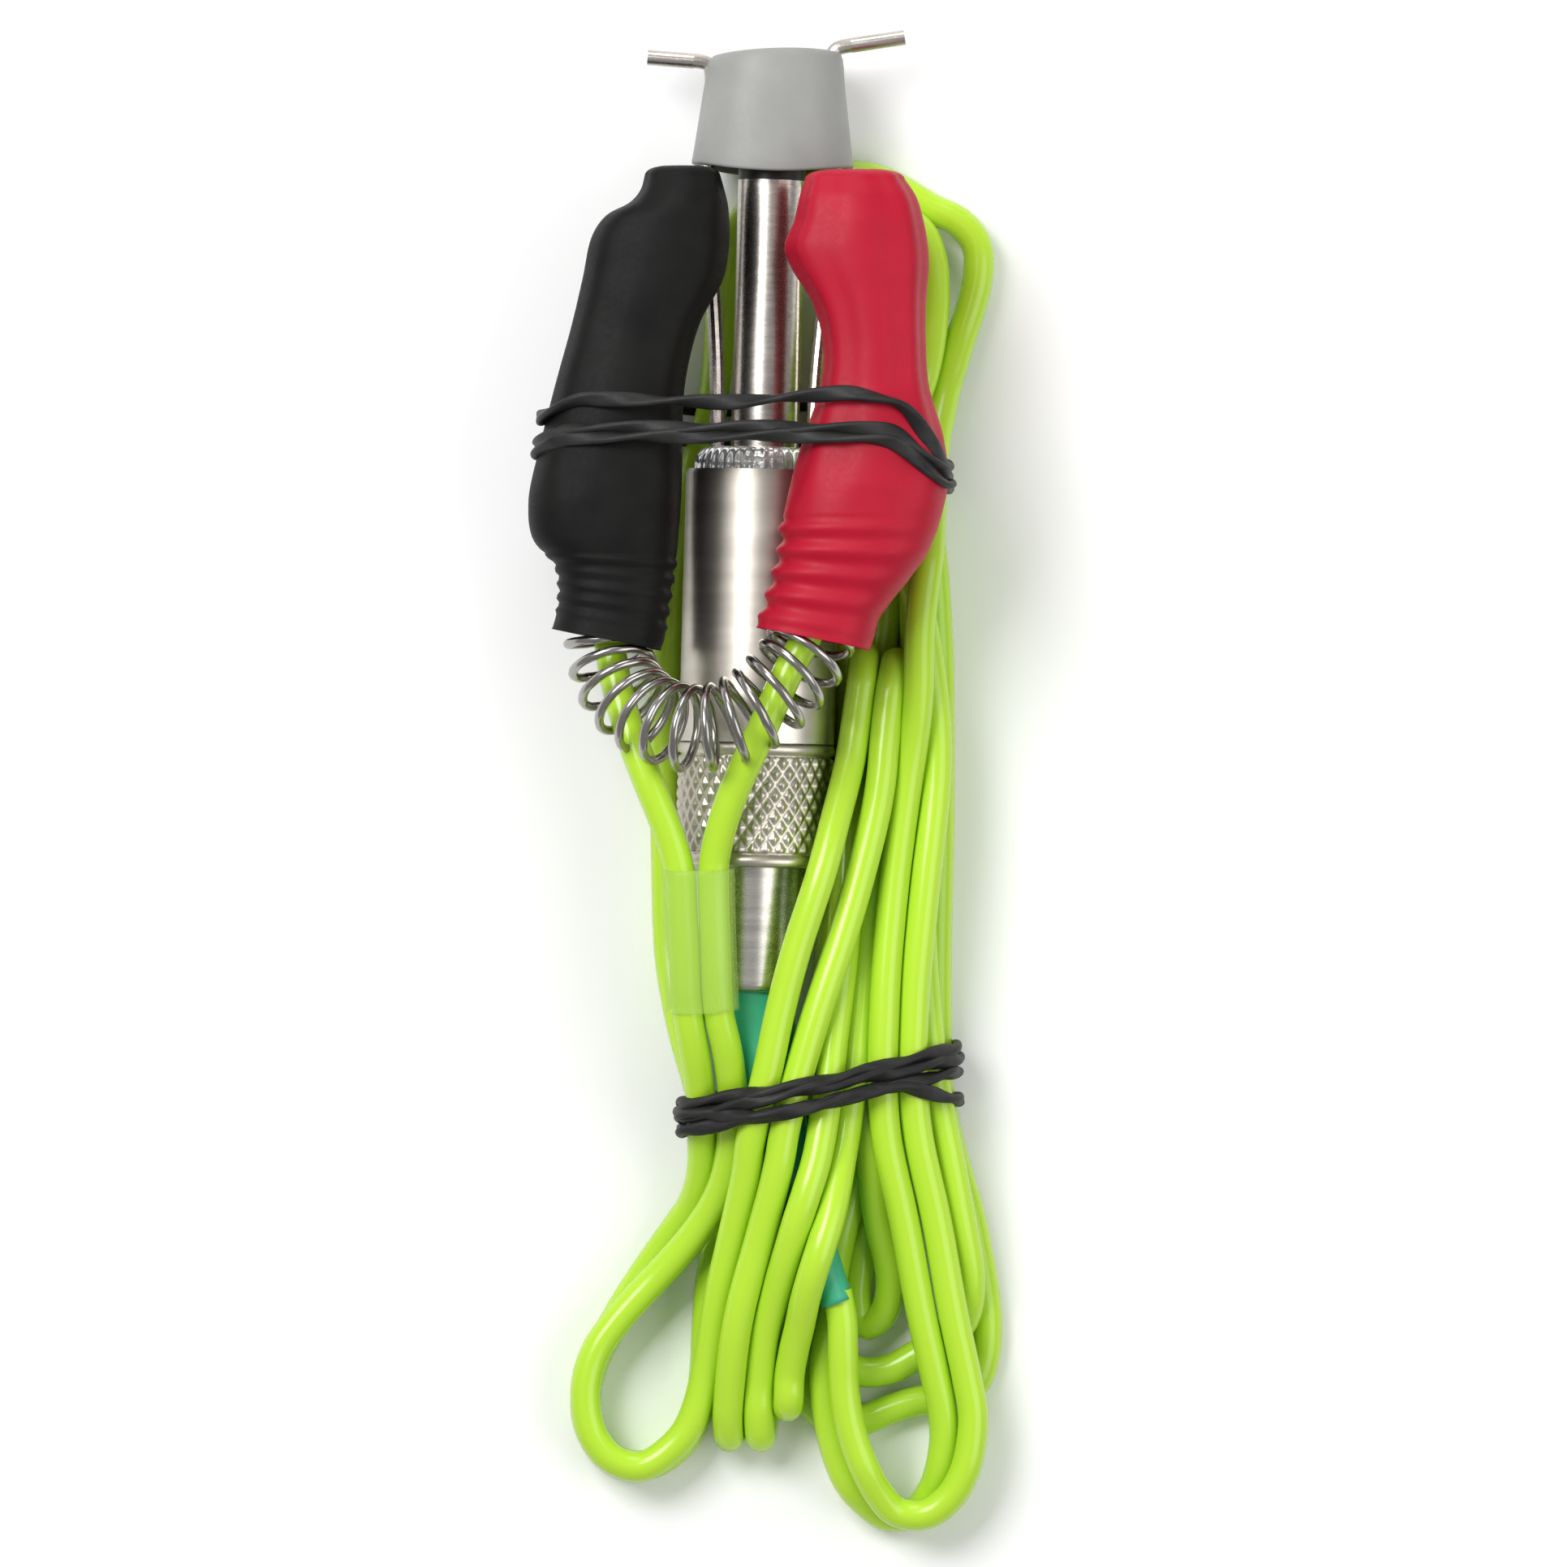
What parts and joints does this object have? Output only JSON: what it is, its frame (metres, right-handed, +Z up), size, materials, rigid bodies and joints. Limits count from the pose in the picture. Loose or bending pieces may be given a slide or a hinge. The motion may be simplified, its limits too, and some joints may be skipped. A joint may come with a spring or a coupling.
{
  "type": "circuit test light",
  "caption": "Circuit tester: metal probe with lit collar, hooked tip wires and cap, two booted clips on one bent coil spring, silicone leads folded and banded.",
  "frame": {"origin": "centre of the bundle without its leads, on the surface it lies on", "axes": "+Y from the leads towards the probe tip, +X from the black clip to the red clip, +Z up, away from the surface"},
  "size_m": [0.063, 0.1961, 0.0369],
  "materials": {
    "polished_steel": "polished stainless steel",
    "satin_nickel": "satin, fine turning lines",
    "brass": "satin",
    "clear_plastic": "clear moulded plastic, ribbed",
    "bulb_glass": "clear glass",
    "insulator": "matte",
    "black_plastic": "matte",
    "grey_vinyl": "soft matte vinyl",
    "black_vinyl": "soft satin vinyl",
    "red_vinyl": "soft satin vinyl",
    "teal_shrink": "satin heat-shrink tube",
    "lime_silicone": "glossy silicone rubber",
    "clear_sleeve": "soft clear tube",
    "black_rubber": "matte"
  },
  "bodies": {
    "root": {"probe_needle": "polished_steel", "needle_insulator": "insulator", "nose_bush": "black_plastic", "nose_tube": "polished_steel", "lens_collar": "clear_plastic", "barrel": "satin_nickel", "bulb_glass": "bulb_glass", "bulb_base": "brass", "bulb_socket": "insulator", "contact_plunger": "brass", "contact_spring": "polished_steel", "terminal_disc": "brass", "tail_tube": "satin_nickel", "cable_clamp": "insulator", "lead_stubs": "lime_silicone", "heat_shrink": "teal_shrink", "tip_cap": "grey_vinyl", "hook_left": "polished_steel", "hook_right": "polished_steel", "black_fixed_jaw": "satin_nickel", "black_pivot_pin": "polished_steel", "black_jaw_spring": "polished_steel", "black_wire_screw": "polished_steel", "black_boot": "black_vinyl", "red_fixed_jaw": "satin_nickel", "red_pivot_pin": "polished_steel", "red_jaw_spring": "polished_steel", "red_wire_screw": "polished_steel", "red_boot": "red_vinyl", "bridge_spring": "polished_steel", "clear_sleeve": "clear_sleeve", "band_upper": "black_rubber", "band_lower": "black_rubber", "lead_black": "lime_silicone", "lead_red": "lime_silicone", "hank_right": "lime_silicone", "hank_left": "lime_silicone", "hank_loops": "lime_silicone", "hank_front": "lime_silicone"},
    "nut_carrier": {"thrust_washer": "insulator"},
    "nut": {"knurled_nut": "satin_nickel"},
    "black_jaw": {"black_moving_jaw": "satin_nickel"},
    "red_jaw": {"red_moving_jaw": "satin_nickel"}
  },
  "joints": [
    {"name": "black_jaw_open", "type": "hinge", "parent": "root", "child": "black_jaw", "pos_m": [-0.0134, 0.041, 0.018], "axis": [0, 0, 1], "range_deg": [0, 20], "stiffness_Nm_per_rad": 0.12, "springref_deg": -20.05, "deforming": ["black_boot", "black_jaw_spring"]},
    {"name": "red_jaw_open", "type": "hinge", "parent": "root", "child": "red_jaw", "pos_m": [0.0167, 0.041, 0.027], "axis": [0, 0, -1], "range_deg": [0, 20], "stiffness_Nm_per_rad": 0.12, "springref_deg": -20.05, "deforming": ["red_boot", "red_jaw_spring"]},
    {"name": "nut_travel", "type": "slide", "parent": "root", "child": "nut_carrier", "axis": [-0.0279, -0.9996, 0], "range_m": [0, 0.0038]},
    {"name": "nut_turn", "type": "hinge", "parent": "nut_carrier", "child": "nut", "pos_m": [0.00156, -0.02299, 0.0105], "axis": [-0.0279, -0.9996, 0], "range_deg": [0, 900]}
  ],
  "couplings": [
    {"joint": "nut_travel", "follows": "nut_turn", "m_per_rad": 0.00023873}
  ]
}
